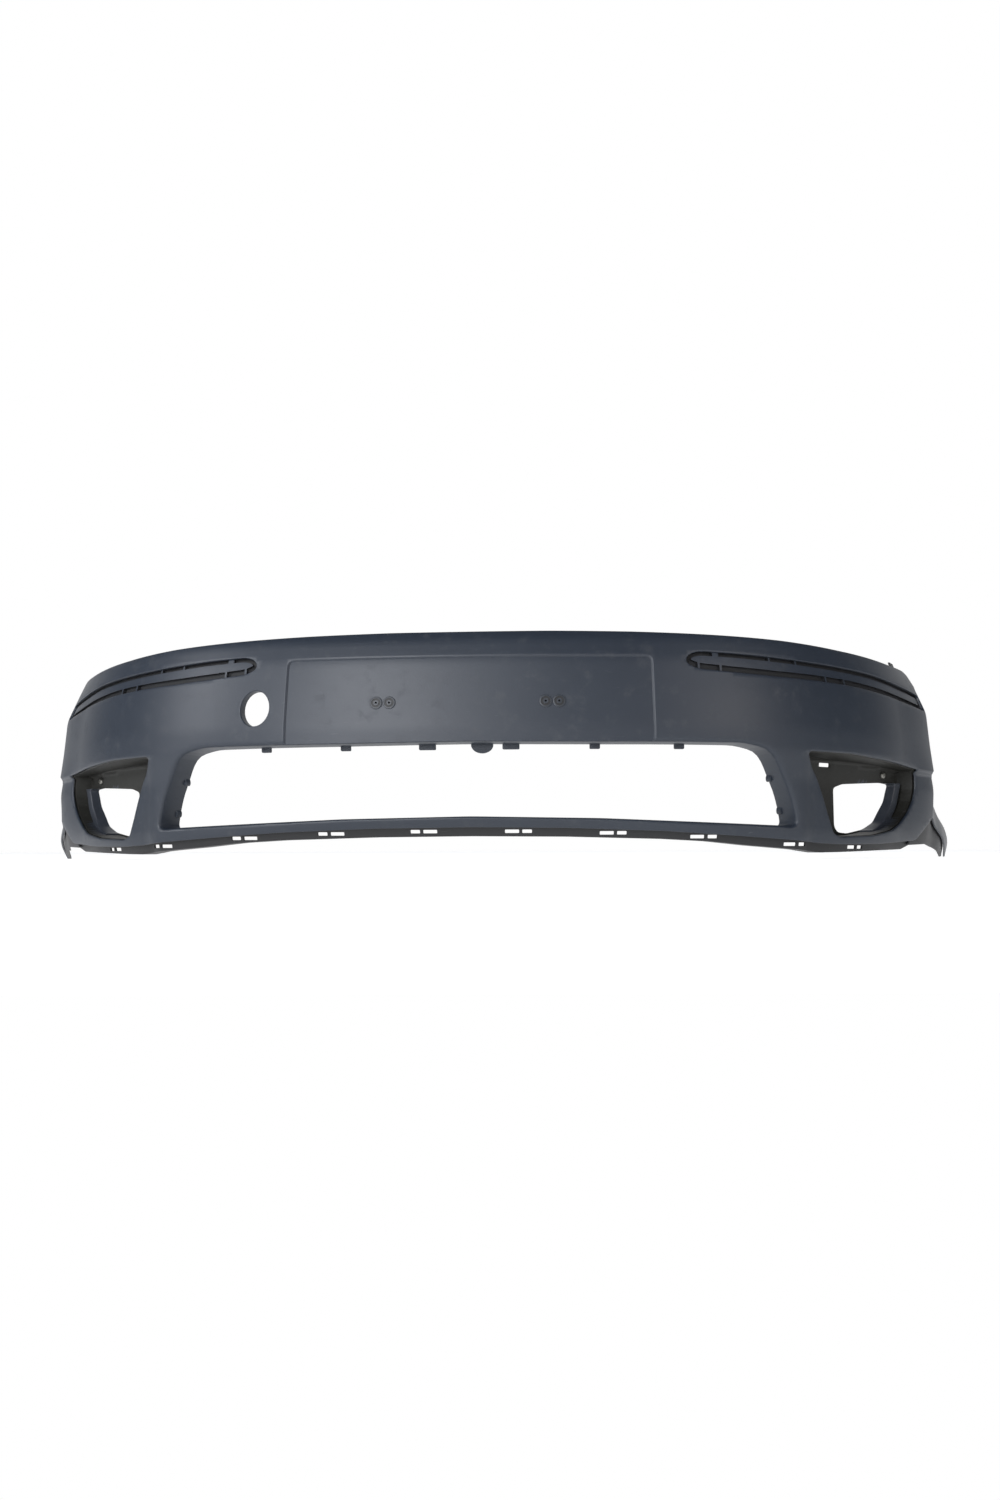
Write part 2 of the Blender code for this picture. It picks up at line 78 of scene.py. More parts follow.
def section(points, height):
    """Read a section at some heights, with its corners eased over about 16 mm."""
    heights = np.arange(-0.08, 0.44, 0.002)
    offsets = np.interp(heights, *zip(*points))
    eased_line = np.convolve(np.pad(offsets, 4, mode="edge"), np.ones(9) / 9, mode="valid")
    return np.interp(height, heights, eased_line)


def brow_height(along):
    return 0.1645 - 0.014 * smooth_step((np.abs(along) - 0.62) / 0.26)


def face_offset(along, height):
    """How far the painted face lies outside the plan curve."""
    s = np.abs(along)
    to_corner = smooth_step((s - 0.10) / 0.50)
    to_side = smooth_step((s - 0.78) / 0.16)
    front = section(CENTRE_SECTION, height) * (1 - to_corner) + section(CORNER_SECTION, height) * to_corner
    body = front * (1 - to_side) + section(SIDE_SECTION, height) * to_side
    past_crease = np.clip((s - CREASE) / 0.265, 0.0, 1.0)
    tuck = AFT_TUCK * past_crease * (2.0 - past_crease) * smooth_step((height - 0.02) / 0.11)
    under_brow = smooth_step((brow_height(s) - height) / 0.005)
    along_brow = smooth_step((s - 0.515) / 0.03) * (1 - smooth_step((s - 0.97) / 0.08))
    return body - tuck - BROW_STEP * under_brow * along_brow


def wrapped(points):
    """Move unrolled points (along, depth, height) on to the curved cover."""
    along, depth, height = points[:, 0], points[:, 1], points[:, 2]
    x = np.linspace(0.0, 1.05, 2101)
    y = NOSE_Y + BEND_2 * x ** 2 + BEND_4 * x ** 4
    length = np.concatenate([[0.0], np.cumsum(np.hypot(np.diff(x), np.diff(y)))])
    side = np.where(along < 0, -1.0, 1.0)
    px = np.interp(np.abs(along), length, x)
    slope = 2 * BEND_2 * px + 4 * BEND_4 * px ** 3
    size = np.hypot(slope, 1.0)
    out = face_offset(along, height) - depth
    return np.stack([side * (px + slope / size * out),
                     NOSE_Y + BEND_2 * px ** 2 + BEND_4 * px ** 4 - out / size, height], axis=1)


def mirrored(outline):
    return [(-s, z) for s, z in outline]


def kept(outline):
    return outline


SIDES = {"right": kept, "left": mirrored}


def both_sides(outline):
    """Close an outline that starts and ends on the centre plane with its mirror image."""
    return outline + [p for p in reversed(mirrored(outline)) if p[0] < -1e-9]


def eased(outline, reach):
    """Round every corner of a closed outline, starting at most a reach before it."""
    smooth = []
    for i, corner in enumerate(outline):
        corner = Vector(corner)
        before = Vector(outline[i - 1]) - corner
        after = Vector(outline[(i + 1) % len(outline)]) - corner
        start = corner + before.normalized() * min(reach, before.length * 0.47)
        end = corner + after.normalized() * min(reach, after.length * 0.47)
        turn = math.pi - before.angle(after, math.pi)
        steps = max(2, round(turn / math.radians(14)))
        for k in range(steps + 1):
            t = k / steps
            smooth.append(tuple(start * (1 - t) ** 2 + corner * 2 * t * (1 - t) + end * t ** 2))
    return smooth


def grown(outline, distance):
    """Push a closed outline outwards by a distance, corner by corner."""
    area = sum(a[0] * b[1] - b[0] * a[1] for a, b in zip(outline, outline[1:] + outline[:1]))
    turn = 1.0 if area > 0 else -1.0
    result = []
    for i, point in enumerate(outline):
        before = (Vector(point) - Vector(outline[i - 1])).normalized()
        after = (Vector(outline[(i + 1) % len(outline)]) - Vector(point)).normalized()
        out_before = Vector((before.y, -before.x)) * turn
        out_after = Vector((after.y, -after.x)) * turn
        corner = (out_before + out_after) / max(1.0 + out_before.dot(out_after), 0.25)
        result.append(tuple(Vector(point) + corner * distance))
    return result


def oval(centre, half_size, sides=32):
    turns = [2 * math.pi * i / sides for i in range(sides)]
    return [(centre[0] + half_size[0] * math.cos(a), centre[1] + half_size[1] * math.sin(a)) for a in turns]


def box_outline(low_s, high_s, low_z, high_z):
    return [(low_s, low_z), (high_s, low_z), (high_s, high_z), (low_s, high_z)]


def fillet(radius, steps=4):
    """Layers of a cutter that rounds the front edge of its hole."""
    turns = [math.pi / 2 * i / steps for i in range(steps + 1)]
    return [(radius * (1 - math.cos(a)), radius * (1 - math.sin(a))) for a in turns]


def rounded_front(front, back, radius=0.0008):
    """Layers of a solid with its front edge rounded."""
    return [(front, -radius), (front + radius * 0.3, -radius * 0.3), (front + radius, 0), (back, 0)]


def loft(outline, layers):
    """Solid through copies of an outline, each at a depth and grown by a distance."""
    bm = bmesh.new()
    depth, spread = layers[0]
    face = bm.faces.new([bm.verts.new((s, depth, z)) for s, z in grown(outline, spread)])
    for number, (depth, spread) in enumerate(layers[1:]):
        made = bmesh.ops.extrude_face_region(bm, geom=[face])["geom"]
        if number:
            bmesh.ops.delete(bm, geom=[face], context="FACES_ONLY")
        face = next(part for part in made if isinstance(part, bmesh.types.BMFace))
        for vert, (s, z) in zip(face.verts, grown(outline, spread)):
            vert.co = (s, depth, z)
    bmesh.ops.recalc_face_normals(bm, faces=bm.faces)
    mesh = bpy.data.meshes.new("shape")
    bm.to_mesh(mesh)
    bm.free()
    shape = bpy.data.objects.new("shape", mesh)
    bpy.context.scene.collection.objects.link(shape)
    return shape


def block(low, high):
    """Box between two corners given as (along, depth, height)."""
    return loft(box_outline(low[0], high[0], low[2], high[2]), [(low[1], 0), (high[1], 0)])


def combine(base, others, operation):
    for other in others:
        boolean = base.modifiers.new(operation, "BOOLEAN")
        boolean.operation = operation
        boolean.solver = "EXACT"
        boolean.object = other
    evaluated = base.evaluated_get(bpy.context.evaluated_depsgraph_get())
    mesh = bpy.data.meshes.new_from_object(evaluated)
    base.modifiers.clear()
    base.data = mesh
    for other in others:
        bpy.data.objects.remove(other)
    return base


def unite(base, *others):
    return combine(base, others, "UNION")


def cut(base, *others):
    return combine(base, others, "DIFFERENCE")


def slice_grid(bm, axis, step):
    """Cut a mesh at every multiple of a step along one axis."""
    places = [v.co[axis] for v in bm.verts]
    normal = Vector([float(i == axis) for i in range(3)])
    for i in range(math.ceil(min(places) / step), math.floor(max(places) / step) + 1):
        everything = bm.verts[:] + bm.edges[:] + bm.faces[:]
        bmesh.ops.bisect_plane(bm, geom=everything, dist=0.0001, plane_co=normal * i * step, plane_no=normal)


def bent_normals(flat, corner_verts, corner_normals):
    """Carry normals of the unrolled shape over to the bent one, so that the curve shades smoothly."""
    reach = 0.0002
    along, back, up = [(wrapped(flat + step) - wrapped(flat - step)) / (2 * reach)
                       for step in np.eye(3) * reach]
    sides = [np.cross(back, up), np.cross(up, along), np.cross(along, back)]
    bent = sum(side[corner_verts] * corner_normals[:, i:i + 1] for i, side in enumerate(sides))
    return bent / np.maximum(np.linalg.norm(bent, axis=1, keepdims=True), 1e-12)


def bend_round(shape, name, finishes, grid=(0.010, 0.007), reshape=None, choose=None):
    """Grid an unrolled solid, wrap it round the cover and give it its finishes.

    reshape moves a vertex before the wrap, and choose picks a face's finish from its unrolled middle.
    """
    bm = bmesh.new()
    bm.from_mesh(shape.data)
    bpy.data.objects.remove(shape)
    for vert in bm.verts if reshape else []:
        vert.co.y = reshape(vert.co)
    slice_grid(bm, 0, grid[0])
    slice_grid(bm, 2, grid[1])
    bmesh.ops.remove_doubles(bm, verts=bm.verts, dist=0.00002)
    bmesh.ops.dissolve_degenerate(bm, edges=bm.edges, dist=0.00002)
    bmesh.ops.triangulate(bm, faces=bm.faces)
    for face in bm.faces:
        face.smooth = True
        if choose:
            face.material_index = choose(face.calc_center_median())
    mesh = bpy.data.meshes.new(name)
    bm.to_mesh(mesh)
    bm.free()
    mesh.set_sharp_from_angle(angle=math.radians(40))
    flat = np.array([v.co[:] for v in mesh.vertices])
    corner_normals = np.array([n.vector[:] for n in mesh.corner_normals])
    corner_verts = np.array([loop.vertex_index for loop in mesh.loops])
    normals = bent_normals(flat, corner_verts, corner_normals)
    mesh.vertices.foreach_set("co", wrapped(flat).astype(np.float32).ravel())
    mesh.normals_split_custom_set(normals.tolist())
    for finish in finishes:
        mesh.materials.append(finish)
    piece = bpy.data.objects.new(name, mesh)
    bpy.context.scene.collection.objects.link(piece)
    return piece


class Wire:
    """A socket of a material's node tree. Sums and products of wires add Math nodes."""

    def __init__(self, tree, socket=None):
        self.tree, self.socket = tree, socket

    def node(self, kind, settings, inputs, output=0):
        made = self.tree.nodes.new(kind)
        for name, value in settings.items():
            setattr(made, name, value)
        for name, value in inputs.items():
            if isinstance(value, Wire):
                self.tree.links.new(value.socket, made.inputs[name])
            else:
                made.inputs[name].default_value = value
        return Wire(self.tree, made.outputs[output])

    def math(self, operation, *values):
        return self.node("ShaderNodeMath", {"operation": operation}, dict(enumerate(values)))

    def __add__(self, other):
        return self.math("ADD", self, other)

    def __mul__(self, other):
        return self.math("MULTIPLY", self, other)

    __radd__ = __add__

    def between(self, low, high):
        """0 below low and 1 above high, with a soft run between."""
        return self.node("ShaderNodeMapRange", {"interpolation_type": "SMOOTHSTEP"},
                         {"Value": self, "From Min": low, "From Max": high})

    def noise(self, scale, detail=2.0, rough=0.5):
        """Noise over this place, with a scale in features per metre."""
        return self.node("ShaderNodeTexNoise", {},
                         {"Vector": self, "Scale": scale, "Detail": detail, "Roughness": rough}, "Fac")

    def stretched(self, turn, size):
        return self.node("ShaderNodeMapping", {}, {"Vector": self, "Rotation": turn, "Scale": size})

    def mixed(self, low, high):
        """Blend two colours by this wire."""
        return self.node("ShaderNodeMix", {"data_type": "RGBA"},
                         {"Factor": self, 6: low, 7: high}, 2)


def new_finish(name, **fixed):
    """A material and its object coordinates. Numbers that are even all over are set on the shader."""
    mat = bpy.data.materials.new(name)
    mat.use_nodes = True
    shader = mat.node_tree.nodes["Principled BSDF"]
    for socket, value in fixed.items():
        shader.inputs[socket.replace("_", " ")].default_value = value
    place = Wire(mat.node_tree).node("ShaderNodeTexCoord", {}, {}, "Object")
    return mat, place


def set_finish(mat, **wires):
    """Join what changes over a surface to the shader's sockets."""
    shader = mat.node_tree.nodes["Principled BSDF"]
    for socket, wire in wires.items():
        mat.node_tree.links.new(wire.socket, shader.inputs[socket.replace("_", " ")])


def bumped(height, distance, strength=1.0):
    return height.node("ShaderNodeBump", {}, {"Height": height, "Distance": distance, "Strength": strength})


def primer_finish():
    """Matt primer, sprayed: fine grain and orange peel, faint clouds, dust and a few handling scuffs."""
    mat, place = new_finish("primer_paint", Specular_IOR_Level=0.5)
    clouds = place.noise(5.0, 4.0, 0.6)
    grain = place.noise(1600.0, 2.0)
    peel = place.noise(260.0, 2.0)
    dust = place.noise(38.0, 5.0, 0.65).between(0.52, 0.78)
    scuff_lines = place.stretched((0.2, 0.1, 0.5), (30.0, 260.0, 420.0)).noise(1.0, 3.0).between(0.69, 0.74)
    scuffs = scuff_lines * place.noise(7.0, 2.0).between(0.55, 0.66)
    tone = clouds * 0.7 + grain * 0.3
    colour = tone.mixed((0.014, 0.019, 0.029, 1), (0.021, 0.028, 0.040, 1))
    dusty = (dust * 0.16).mixed(colour, (0.10, 0.10, 0.10, 1))
    scuffed = (scuffs * 0.3).mixed(dusty, (0.12, 0.13, 0.14, 1))
    roughness = 0.40 + clouds * 0.08 + dust * 0.10 + scuffs * 0.08
    relief = bumped(peel * 0.7 + grain * 0.3, 0.00012, 0.5)
    set_finish(mat, Base_Color=scuffed, Roughness=roughness, Normal=relief)
    return mat


def black_plastic(name, dark, light, shine):
    """Moulded black polypropylene: an even spark-eroded grain, a little bloom and a few pale rubs. Some of
    its uses are painted shade: the trim grooves, the grommet seats, and in part the lower strip.
    """
    mat, place = new_finish(name, Specular_IOR_Level=0.45)
    grain = place.node("ShaderNodeTexVoronoi", {"feature": "SMOOTH_F1"},
                       {"Vector": place, "Scale": 700.0}, "Distance")
    bloom = place.noise(11.0, 4.0, 0.6)
    rubs = place.stretched((0.3, 0.0, 0.2), (25.0, 300.0, 300.0)).noise(1.0, 3.0).between(0.68, 0.75)
    colour = bloom.mixed((*dark, 1), (*light, 1))
    rubbed = (rubs * 0.3).mixed(colour, (0.09, 0.09, 0.09, 1))
    set_finish(mat, Base_Color=rubbed, Roughness=shine + bloom * 0.15 + grain * 0.08,
               Normal=bumped(grain, 0.00015, 0.6))
    return mat


def inside(outline, s, z):
    """Whether a point lies within a closed outline, by counting the edges it crosses."""
    within = False
    for (s1, z1), (s2, z2) in zip(outline, outline[1:] + outline[:1]):
        if (z1 > z) != (z2 > z) and s < s1 + (z - z1) / (z2 - z1) * (s2 - s1):
            within = not within
    return within


WALL = 0.003
GRILLE_TOP, GRILLE_DEPTH, GRILLE_ROUND = 0.175, 0.042, 0.006
PLATE_HALF, PLATE_LOW, PLATE_HIGH, PLATE_STEP = 0.2757, 0.182, 0.3025, 0.0025
TOW_PLACE, TOW_SIZE, TOW_DEPTH = (-0.3275, 0.231), (0.0235, 0.0275), 0.014
TRAY_STEP, GROOVE_WIDTH, GROOVE_DEPTH = 0.004, 0.008, 0.0095
GROOVE_LIFT = 0.0016                     # how much wider the groove is below its island than above
BOSS_PLACES, BOSS_HEIGHT, BOSS_HOLE = (-0.137, -0.117, 0.117, 0.137), 0.235, 0.004
TOP_FLANGE_DEPTH, TOP_FLANGE_DROP = 0.020, 0.0005
ARCH_FLANGE_DEPTH = 0.022
TOP_EDGE = [(0, 0.346), (0.12, 0.346), (0.25, 0.344), (0.375, 0.341), (0.50, 0.338), (0.62, 0.3335),
            (0.80, 0.330), (0.88, 0.332), (0.905, 0.328)]
AFT_EDGE = [(0.930, 0.305), (0.950, 0.272), (1.00, 0.244), (1.09, 0.220), (1.168, 0.205),
            (1.158, 0.150), (1.155, 0.100), (1.166, 0.050), (1.190, 0.0)]
LOW_EDGE = [(1.170, 0.0), (0.925, 0.072), (0.855, 0.030), (0.71, 0.0235), (0.60, 0.0228),
            (0.555, 0.0245), (0.51, 0.0285), (0.412, 0.0355), (0.30, 0.0430), (0.15, 0.0485), (0, 0.050)]
GRILLE_EDGE = [(0, GRILLE_TOP), (0.20, 0.1735), (0.415, 0.1735), (0.452, 0.166), (0.468, 0.151),
               (0.480, 0.1295), (0.493, 0.107), (0.502, 0.080), (0.508, 0.050), (0.40, 0.0545),
               (0.20, 0.063), (0, 0.0665)]
BROW_EDGE = [(0.527, 0.1645), (0.62, 0.1645), (0.69, 0.161), (0.77, 0.157), (0.848, 0.152)]
MOUTH_EDGE = BROW_EDGE + [(0.852, 0.135), (0.851, 0.118), (0.842, 0.097), (0.822, 0.076), (0.790, 0.057),
                          (0.757, 0.046), (0.690, 0.037), (0.600, 0.034), (0.583, 0.040), (0.573, 0.066),
                          (0.562, 0.098), (0.551, 0.124), (0.5375, 0.1415)]
TRAY_EDGE = [(0.350, 0.313), (0.411, 0.311), (0.556, 0.305), (0.71, 0.301), (0.785, 0.297),
             (0.918, 0.290), (0.914, 0.2605), (0.835, 0.266), (0.77, 0.270), (0.64, 0.275),
             (0.475, 0.278), (0.410, 0.281), (0.350, 0.285), (0.333, 0.291), (0.329, 0.299), (0.335, 0.308)]
LOWER_RIBS = [(0.350, 0.0036), (0.385, 0.0036), (0.580, 0.0036), (0.625, 0.0036)]    # (place, width)
UPPER_RIBS = [(0.378, 0.010), (0.470, 0.003), (0.520, 0.003)]
GRILLE_TABS = [(0.064, 0.026), (0.192, 0.016), (0.324, 0.016)]                      # (place, width)
GRILLE_NIBS = [(0.4825, 0.125), (0.5035, 0.075)]
BACK_RIBS = (0.070, 0.210, 0.262)
LUG_PLACE, LUG_SIZE = (0.020, GRILLE_TOP - 0.0015), (0.017, 0.0125)
TAB_HEIGHTS = (0.1665, 0.1755)

grille = eased(both_sides(GRILLE_EDGE), 0.012)
mouth = eased(MOUTH_EDGE, 0.006)


def tray(distance=0.0):
    """The long oval recess's outline, grown or shrunk by a distance."""
    return eased(grown(TRAY_EDGE, distance), 0.008)


def edge_height(edge, along):
    """Height of an edge at a place along it, on either side."""
    return float(np.interp(abs(along), *zip(*sorted(edge))))


def groove_cutter(turn):
    """The deep groove round a tray, broken where ribs cross it."""
    island = [(s, z + GROOVE_LIFT) for s, z in turn(tray(-GROOVE_WIDTH))]
    ring = cut(loft(turn(tray()), [(-0.01, 0), (GROOVE_DEPTH, -0.0004)]),
               loft(island, [(-0.02, 0), (GROOVE_DEPTH + 0.01, 0)]))
    ribs = []
    for edge, places in ((TRAY_EDGE[5:13], LOWER_RIBS), (TRAY_EDGE[:6], UPPER_RIBS)):
        for s, width in places:
            z = edge_height(edge[1:] if places is LOWER_RIBS else edge, s)
            outline = turn(box_outline(s - width / 2, s + width / 2, z - 0.011, z + 0.011))
            ribs.append(loft(outline, [(0.0006, 0), (GROOVE_DEPTH + 0.01, 0)]))
    return cut(ring, *ribs)


def cover_walls():
    """Walls and flanges that stand behind the painted sheet."""
    start, ring = WALL / 2, GRILLE_ROUND
    walls = [loft(grille, [(start, ring + WALL), (ring * 0.5, ring * 0.35 + WALL), (ring + WALL, WALL),
                           (GRILLE_DEPTH, WALL)])]
    plate = box_outline(-PLATE_HALF - WALL, PLATE_HALF + WALL, PLATE_LOW - WALL, PLATE_HIGH + WALL)
    walls.append(loft(plate, [(start, 0), (PLATE_STEP + WALL, 0)]))
    walls.append(loft(oval(TOW_PLACE, TOW_SIZE), [(start, WALL), (TOW_DEPTH, WALL)]))
    top = sorted(both_sides([(s, z - TOP_FLANGE_DROP) for s, z in TOP_EDGE[:6]]))
    walls.append(loft(top + [(s, z - WALL) for s, z in reversed(top)], [(start, 0), (TOP_FLANGE_DEPTH, 0)]))
    walls += [loft(turn(tray(WALL)), [(start, 0), (GROOVE_DEPTH + WALL, 0)]) for turn in SIDES.values()]
    for s in BACK_RIBS:
        for side in (-s, s):
            walls.append(block((side - 0.001, PLATE_STEP + start, PLATE_LOW + 0.006),
                               (side + 0.001, 0.013, PLATE_HIGH - 0.004)))
    return walls


def cover_cutters():
    """Everything taken out of the sheet: the openings, the plate recess, the trays and their grooves."""
    holes = [loft(grille, [(-0.02, GRILLE_ROUND)] + fillet(GRILLE_ROUND) + [(GRILLE_DEPTH + 0.02, 0)])]
    holes.append(loft(eased(box_outline(-PLATE_HALF, PLATE_HALF, GRILLE_TOP - 0.006, PLATE_HIGH), 0.008),
                      [(-0.01, 0.0032), (0, 0.0032), (0.0006, 0.0019), (0.0019, 0.0006), (PLATE_STEP, 0)]))
    holes.append(loft(oval(TOW_PLACE, TOW_SIZE), [(-0.02, 0.002)] + fillet(0.002) + [(TOW_DEPTH + 0.02, 0)]))
    holes += [loft(oval((s, BOSS_HEIGHT), (BOSS_HOLE, BOSS_HOLE), 16), [(-0.02, 0), (0.03, 0)])
              for s in BOSS_PLACES]
    for turn in SIDES.values():
        holes.append(loft(turn(mouth), [(-0.02, 0.002)] + fillet(0.002, 3) + [(0.02, 0)]))
        eased_rim = [(-0.01, 0.0012), (0, 0.0012), (0.0004, 0.0004), (0.0012, 0)]
        holes.append(loft(turn(tray()), eased_rim + [(TRAY_STEP, 0)]))
        holes.append(groove_cutter(turn))
        holes.append(loft(turn(tray(-GROOVE_WIDTH)), [(GROOVE_DEPTH + 0.001, 0), (0.03, 0)]))
    return holes


def grille_trim():
    """Clip tabs and nibs along the back edge of the grille opening's wall."""
    back = GRILLE_DEPTH
    trim = [loft(oval(LUG_PLACE, LUG_SIZE), rounded_front(back - 0.005, back - 0.0005))]
    for place, width in GRILLE_TABS:
        for s in (-place, place):
            outline = eased(box_outline(s - width / 2, s + width / 2, *TAB_HEIGHTS), 0.002)
            trim.append(loft(outline, rounded_front(back - 0.0055, back - 0.001)))
    for s, z in GRILLE_NIBS:
        trim += [loft(oval((side * s, z), (0.0035, 0.006), 20), rounded_front(back - 0.010, back - 0.0002))
                 for side in (-1, 1)]
    return trim


def arch_flanges():
    """Return flanges along the wheel arches, where the arch liners are screwed on."""
    line = [(s - 0.001, z - 0.0007 * i) for i, (s, z) in enumerate(AFT_EDGE[4:8])]
    strip = line + [(s - WALL, z) for s, z in reversed(line)]
    return [loft(turn(strip), [(WALL * 0.6, 0), (ARCH_FLANGE_DEPTH, 0)]) for turn in SIDES.values()]


def in_groove(middle):
    """1 down in a trim groove, where a near-black finish is painted shade for the deep groove, 0 elsewhere.
    """
    deep = TRAY_STEP + 0.0004 < middle.y < GROOVE_DEPTH + 0.0002
    return int(deep and inside(groove_edge, abs(middle.x), middle.z))


primer = primer_finish()
# painted shade: a near-black finish on the grooves' deep faces stands in for the shade down in the grooves
groove_shade = black_plastic("painted_groove_shade", (0.0060, 0.0065, 0.0080), (0.0100, 0.0105, 0.0125), 0.55)
groove_edge = tray(0.0005)
sheet = loft(eased(both_sides(TOP_EDGE + AFT_EDGE + LOW_EDGE), 0.008), rounded_front(0, WALL, 0.001))
unite(sheet, *cover_walls())
cut(sheet, *cover_cutters())
unite(sheet, *grille_trim(), *arch_flanges())
cover = bend_round(sheet, "cover", [primer, groove_shade], choose=in_groove)
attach(cover, "root")
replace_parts(cover, "bumper_skin")

# ------------------------------------------------------------------ lower strip
# The black strip under the grille opening: a separate moulding in textured polypropylene, riveted up behind
# the cover's lower rail.  Pairs of drain and cooling slots go through it, and a shelf stiffens it behind.
# Its near-black colour is partly the moulding's own and partly painted shade under the rail.

BACKED = WALL + 0.003                    # first depth that is clear of the painted sheet
STRIP_FRONT, STRIP_SHELF, STRIP_COVER = 0.0104, 0.034, 0.0075
SLOT_CENTRES, SLOT_HEIGHT = (0.074, 0.222, 0.363, 0.514, 0.655), 0.0052
SLOT_LONG, SLOT_SHORT, SLOT_SPACE = 0.022, 0.015, 0.005
STRIP_RIVETS = (0.145, 0.292, 0.560, 0.740)
STRIP_LOW_EDGE = [(0, 0.0367), (0.15, 0.0355), (0.30, 0.0315), (0.369, 0.0278), (0.436, 0.0212),
                  (0.526, 0.0145), (0.567, 0.0100), (0.61, 0.0105), (0.715, 0.0127), (0.826, 0.0148),
                  (0.858, 0.0225)]


def strip_slots():
    """See-through slots in pairs, a long one towards the middle and a short one outside it."""
    slots = []
    for s in SLOT_CENTRES:
        z = (edge_height(STRIP_LOW_EDGE, s) + edge_height(LOW_EDGE[3:], s)) / 2 + 0.0012
        start = s - (SLOT_LONG + SLOT_SPACE + SLOT_SHORT) / 2
        for low, width in ((start, SLOT_LONG), (start + SLOT_LONG + SLOT_SPACE, SLOT_SHORT)):
            for turn in SIDES.values():
                outline = box_outline(low, low + width, z - SLOT_HEIGHT / 2, z + SLOT_HEIGHT / 2)
                slots.append(loft(eased(turn(outline), 0.0012),
                                  [(-0.01, 0), (STRIP_FRONT, 0.0004), (STRIP_FRONT + 0.0006, 0),
                                   (STRIP_FRONT + WALL + 0.001, 0)]))
    return slots


def rivet_places():
    return [(side * s, edge_height(LOW_EDGE[3:], s) + 0.004) for s in STRIP_RIVETS for side in (-1, 1)]


# partly the plastic's own black and partly painted shade: on the lower strip under the rail and in the
# grommet seats; the rivets and gussets are plain black plastic
black = black_plastic("black_moulding_and_shade", (0.0085, 0.0088, 0.0098), (0.0150, 0.0155, 0.0170), 0.42)
rail = [p for p in reversed(LOW_EDGE) if p[0] <= 0.71] + [(0.858, 0.0300)]
covered = [(s, z + STRIP_COVER) for s, z in rail]
strip_outline = both_sides(covered + STRIP_LOW_EDGE[:0:-1] + STRIP_LOW_EDGE[:1])
strip_face = loft(eased(strip_outline, 0.004), rounded_front(STRIP_FRONT, STRIP_FRONT + WALL))
lowest = sorted(both_sides([(s, z + 0.0001) for s, z in STRIP_LOW_EDGE]))
shelf_outline = lowest + [(s, z + 0.0025) for s, z in reversed(lowest)]
webs = [block((side * s - 0.001, STRIP_FRONT + WALL / 2, edge_height(STRIP_LOW_EDGE, s) + 0.001),
              (side * s + 0.001, STRIP_SHELF - 0.008, edge_height(STRIP_LOW_EDGE, s) + 0.0125))
        for s in (0.035, 0.110, 0.185, 0.255, 0.330, 0.410, 0.470, 0.600) for side in (-1, 1)]
unite(strip_face, loft(shelf_outline, [(STRIP_FRONT + WALL / 2, 0), (STRIP_SHELF, 0)]), *webs)
cut(strip_face, *strip_slots(),
    *[loft(oval(place, (0.0019, 0.0019), 16), [(-0.01, 0), (0.03, 0)]) for place in rivet_places()])
strip = bend_round(strip_face, "lower_strip_moulding", [black])
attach(strip, "root")
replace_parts(strip, "lower_strip")

# ------------------------------------------------------------------ lamp pockets
# A deep black liner behind each lamp mouth, screwed on, with a shaped hole for the fog lamp.  A raised
# satin surround runs round the outer side of the hole, and a cable slot is pierced in the right one.

LAMP_DEPTH, BRIM = 0.066, 0.009
POCKET_FLOOR = LAMP_DEPTH - WALL
LAMP_HOLE = [(0.667, 0.052), (0.675, 0.043), (0.70, 0.041), (0.745, 0.048), (0.777, 0.060),
             (0.810, 0.095), (0.822, 0.126), (0.80, 0.1285), (0.69, 0.1225), (0.668, 0.116)]
LAMP_SCREWS = [(0.806, 0.141), (0.640, 0.050)]
CABLE_SLOT = (0.629, 0.657, 0.1495, 0.1560)
SURROUND_WIDTH, SURROUND_FRONT, SURROUND_START = 0.016, 0.034, 0.735
BOSS_RADIUS, SCREW_HOLE = 0.0075, 0.003


def pocket_taper(point):
    """The lamp pocket gets shallower towards the flank, so its back faces more forwards."""
    start = BACKED + WALL
    keep = 1.0 - 0.57 * min(max((abs(point.x) - 0.64) / 0.19, 0.0), 1.0)
    return point.y if point.y < start else start + (point.y - start) * keep


def round_at(place, radius, sides=32):
    """A circle round a place that has already been put on its own side."""
    return [(place[0] + s, place[1] + z) for s, z in oval((0, 0), (radius, radius), sides)]


